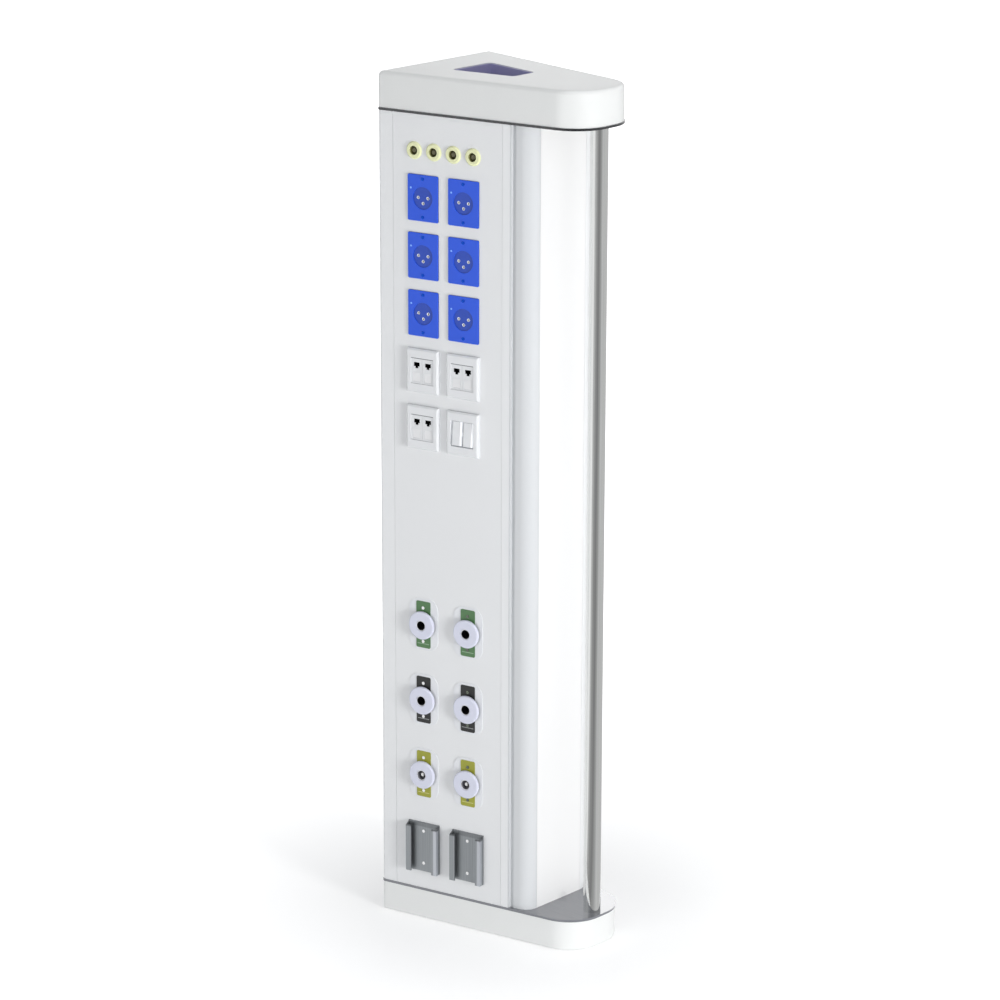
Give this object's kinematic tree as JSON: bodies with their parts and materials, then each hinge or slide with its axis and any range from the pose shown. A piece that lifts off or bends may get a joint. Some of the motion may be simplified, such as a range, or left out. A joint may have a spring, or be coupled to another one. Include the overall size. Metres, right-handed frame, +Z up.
{
  "type": "medical supply column",
  "caption": "Wedge-shaped ward supply column with rounded nose, side panel of sockets, data ports, gas outlets and brackets, and a hand pole in front of a recess.",
  "frame": {"origin": "middle of the base cap's underside, on the column's mirror plane and halfway between its back and its nose", "axes": "+Z up, -Y towards the rounded nose, -X towards the service side"},
  "size_m": [0.2784, 0.395, 1.5],
  "materials": {
    "white_paint": "satin powder coat",
    "cap_paint": "fine satin",
    "dark_plate": "satin",
    "lining": "matte",
    "inner_sheet": "plain",
    "polished_tube": "polished",
    "pale_plastic": "satin",
    "blue_plastic": "semi gloss",
    "white_plastic": "semi gloss",
    "grey_plastic": "matte",
    "contact_metal": "plated",
    "lamp_lens": "clear",
    "outlet_white": "gloss",
    "green_strip": "satin",
    "black_strip": "satin",
    "yellow_strip": "satin",
    "poppet_metal": "polished",
    "valve_brass": "machined",
    "bracket_metal": "anodised",
    "fastener_steel": "zinc plated"
  },
  "bodies": {
    "column": {"base_cap": "cap_paint", "top_cap": "cap_paint", "base_plate": "dark_plate", "top_plate": "dark_plate", "cap_throat": "lining", "rear_corner_left": "white_paint", "rear_corner_right": "white_paint", "front_corner_left": "white_paint", "front_corner_right": "white_paint", "rear_panel": "white_paint", "front_wall": "white_paint", "service_panel": "white_paint", "blank_panel": "white_paint", "divider": "inner_sheet", "hand_pole": "polished_tube", "wall_boxes": "grey_plastic", "bonding_sockets": "pale_plastic", "contact_pins": "contact_metal", "socket_lamps": "lamp_lens", "valve_blocks": "valve_brass", "panel_screws": "fastener_steel", "frame_screws": "fastener_steel", "socket_plate_1": "blue_plastic", "socket_plate_2": "blue_plastic", "socket_plate_3": "blue_plastic", "socket_plate_4": "blue_plastic", "socket_plate_5": "blue_plastic", "socket_plate_6": "blue_plastic", "data_frame_1": "white_plastic", "jack_modules_1": "white_plastic", "data_frame_2": "white_plastic", "jack_modules_2": "white_plastic", "data_frame_3": "white_plastic", "jack_modules_3": "white_plastic", "switch_frame": "white_plastic", "outlet_base_1": "outlet_white", "outlet_base_2": "outlet_white", "outlet_base_3": "outlet_white", "outlet_base_4": "outlet_white", "outlet_base_5": "outlet_white", "outlet_base_6": "outlet_white", "gas_strip_green": "green_strip", "gas_strip_black": "black_strip", "gas_strip_yellow": "yellow_strip", "slide_bracket_1": "bracket_metal", "slide_bracket_2": "bracket_metal"},
    "collar_1": {"outlet_collar_1": "outlet_white"},
    "poppet_1": {"outlet_poppet_1": "poppet_metal"},
    "collar_2": {"outlet_collar_2": "outlet_white"},
    "poppet_2": {"outlet_poppet_2": "poppet_metal"},
    "collar_3": {"outlet_collar_3": "outlet_white"},
    "poppet_3": {"outlet_poppet_3": "poppet_metal"},
    "collar_4": {"outlet_collar_4": "outlet_white"},
    "poppet_4": {"outlet_poppet_4": "poppet_metal"},
    "collar_5": {"outlet_collar_5": "outlet_white"},
    "poppet_5": {"outlet_poppet_5": "poppet_metal"},
    "collar_6": {"outlet_collar_6": "outlet_white"},
    "poppet_6": {"outlet_poppet_6": "poppet_metal"},
    "rocker_1": {"rocker_1": "white_plastic"},
    "rocker_2": {"rocker_2": "white_plastic"}
  },
  "joints": [
    {"name": "collar_1_press", "type": "slide", "parent": "column", "child": "collar_1", "axis": [0.9833, 0.1822, 0], "range_m": [0, 0.003], "stiffness_N_per_m": 1500, "springref_m": -0.002},
    {"name": "poppet_1_press", "type": "slide", "parent": "column", "child": "poppet_1", "axis": [0.9833, 0.1822, 0], "range_m": [0, 0.004], "stiffness_N_per_m": 800, "springref_m": -0.002},
    {"name": "collar_2_press", "type": "slide", "parent": "column", "child": "collar_2", "axis": [0.9833, 0.1822, 0], "range_m": [0, 0.003], "stiffness_N_per_m": 1500, "springref_m": -0.002},
    {"name": "poppet_2_press", "type": "slide", "parent": "column", "child": "poppet_2", "axis": [0.9833, 0.1822, 0], "range_m": [0, 0.004], "stiffness_N_per_m": 800, "springref_m": -0.002},
    {"name": "collar_3_press", "type": "slide", "parent": "column", "child": "collar_3", "axis": [0.9833, 0.1822, 0], "range_m": [0, 0.003], "stiffness_N_per_m": 1500, "springref_m": -0.002},
    {"name": "poppet_3_press", "type": "slide", "parent": "column", "child": "poppet_3", "axis": [0.9833, 0.1822, 0], "range_m": [0, 0.004], "stiffness_N_per_m": 800, "springref_m": -0.002},
    {"name": "collar_4_press", "type": "slide", "parent": "column", "child": "collar_4", "axis": [0.9833, 0.1822, 0], "range_m": [0, 0.003], "stiffness_N_per_m": 1500, "springref_m": -0.002},
    {"name": "poppet_4_press", "type": "slide", "parent": "column", "child": "poppet_4", "axis": [0.9833, 0.1822, 0], "range_m": [0, 0.004], "stiffness_N_per_m": 800, "springref_m": -0.002},
    {"name": "collar_5_press", "type": "slide", "parent": "column", "child": "collar_5", "axis": [0.9833, 0.1822, 0], "range_m": [0, 0.003], "stiffness_N_per_m": 1500, "springref_m": -0.002},
    {"name": "poppet_5_press", "type": "slide", "parent": "column", "child": "poppet_5", "axis": [0.9833, 0.1822, 0], "range_m": [0, 0.004], "stiffness_N_per_m": 800, "springref_m": -0.002},
    {"name": "collar_6_press", "type": "slide", "parent": "column", "child": "collar_6", "axis": [0.9833, 0.1822, 0], "range_m": [0, 0.003], "stiffness_N_per_m": 1500, "springref_m": -0.002},
    {"name": "poppet_6_press", "type": "slide", "parent": "column", "child": "poppet_6", "axis": [0.9833, 0.1822, 0], "range_m": [0, 0.004], "stiffness_N_per_m": 800, "springref_m": -0.002},
    {"name": "rocker_1_tilt", "type": "hinge", "parent": "column", "child": "rocker_1", "pos_m": [-0.11017, 0.03928, 0.8975], "axis": [0.1822, -0.9833, 0], "range_deg": [0, 10]},
    {"name": "rocker_2_tilt", "type": "hinge", "parent": "column", "child": "rocker_2", "pos_m": [-0.10618, 0.01775, 0.8975], "axis": [0.1822, -0.9833, 0], "range_deg": [0, 10]}
  ]
}
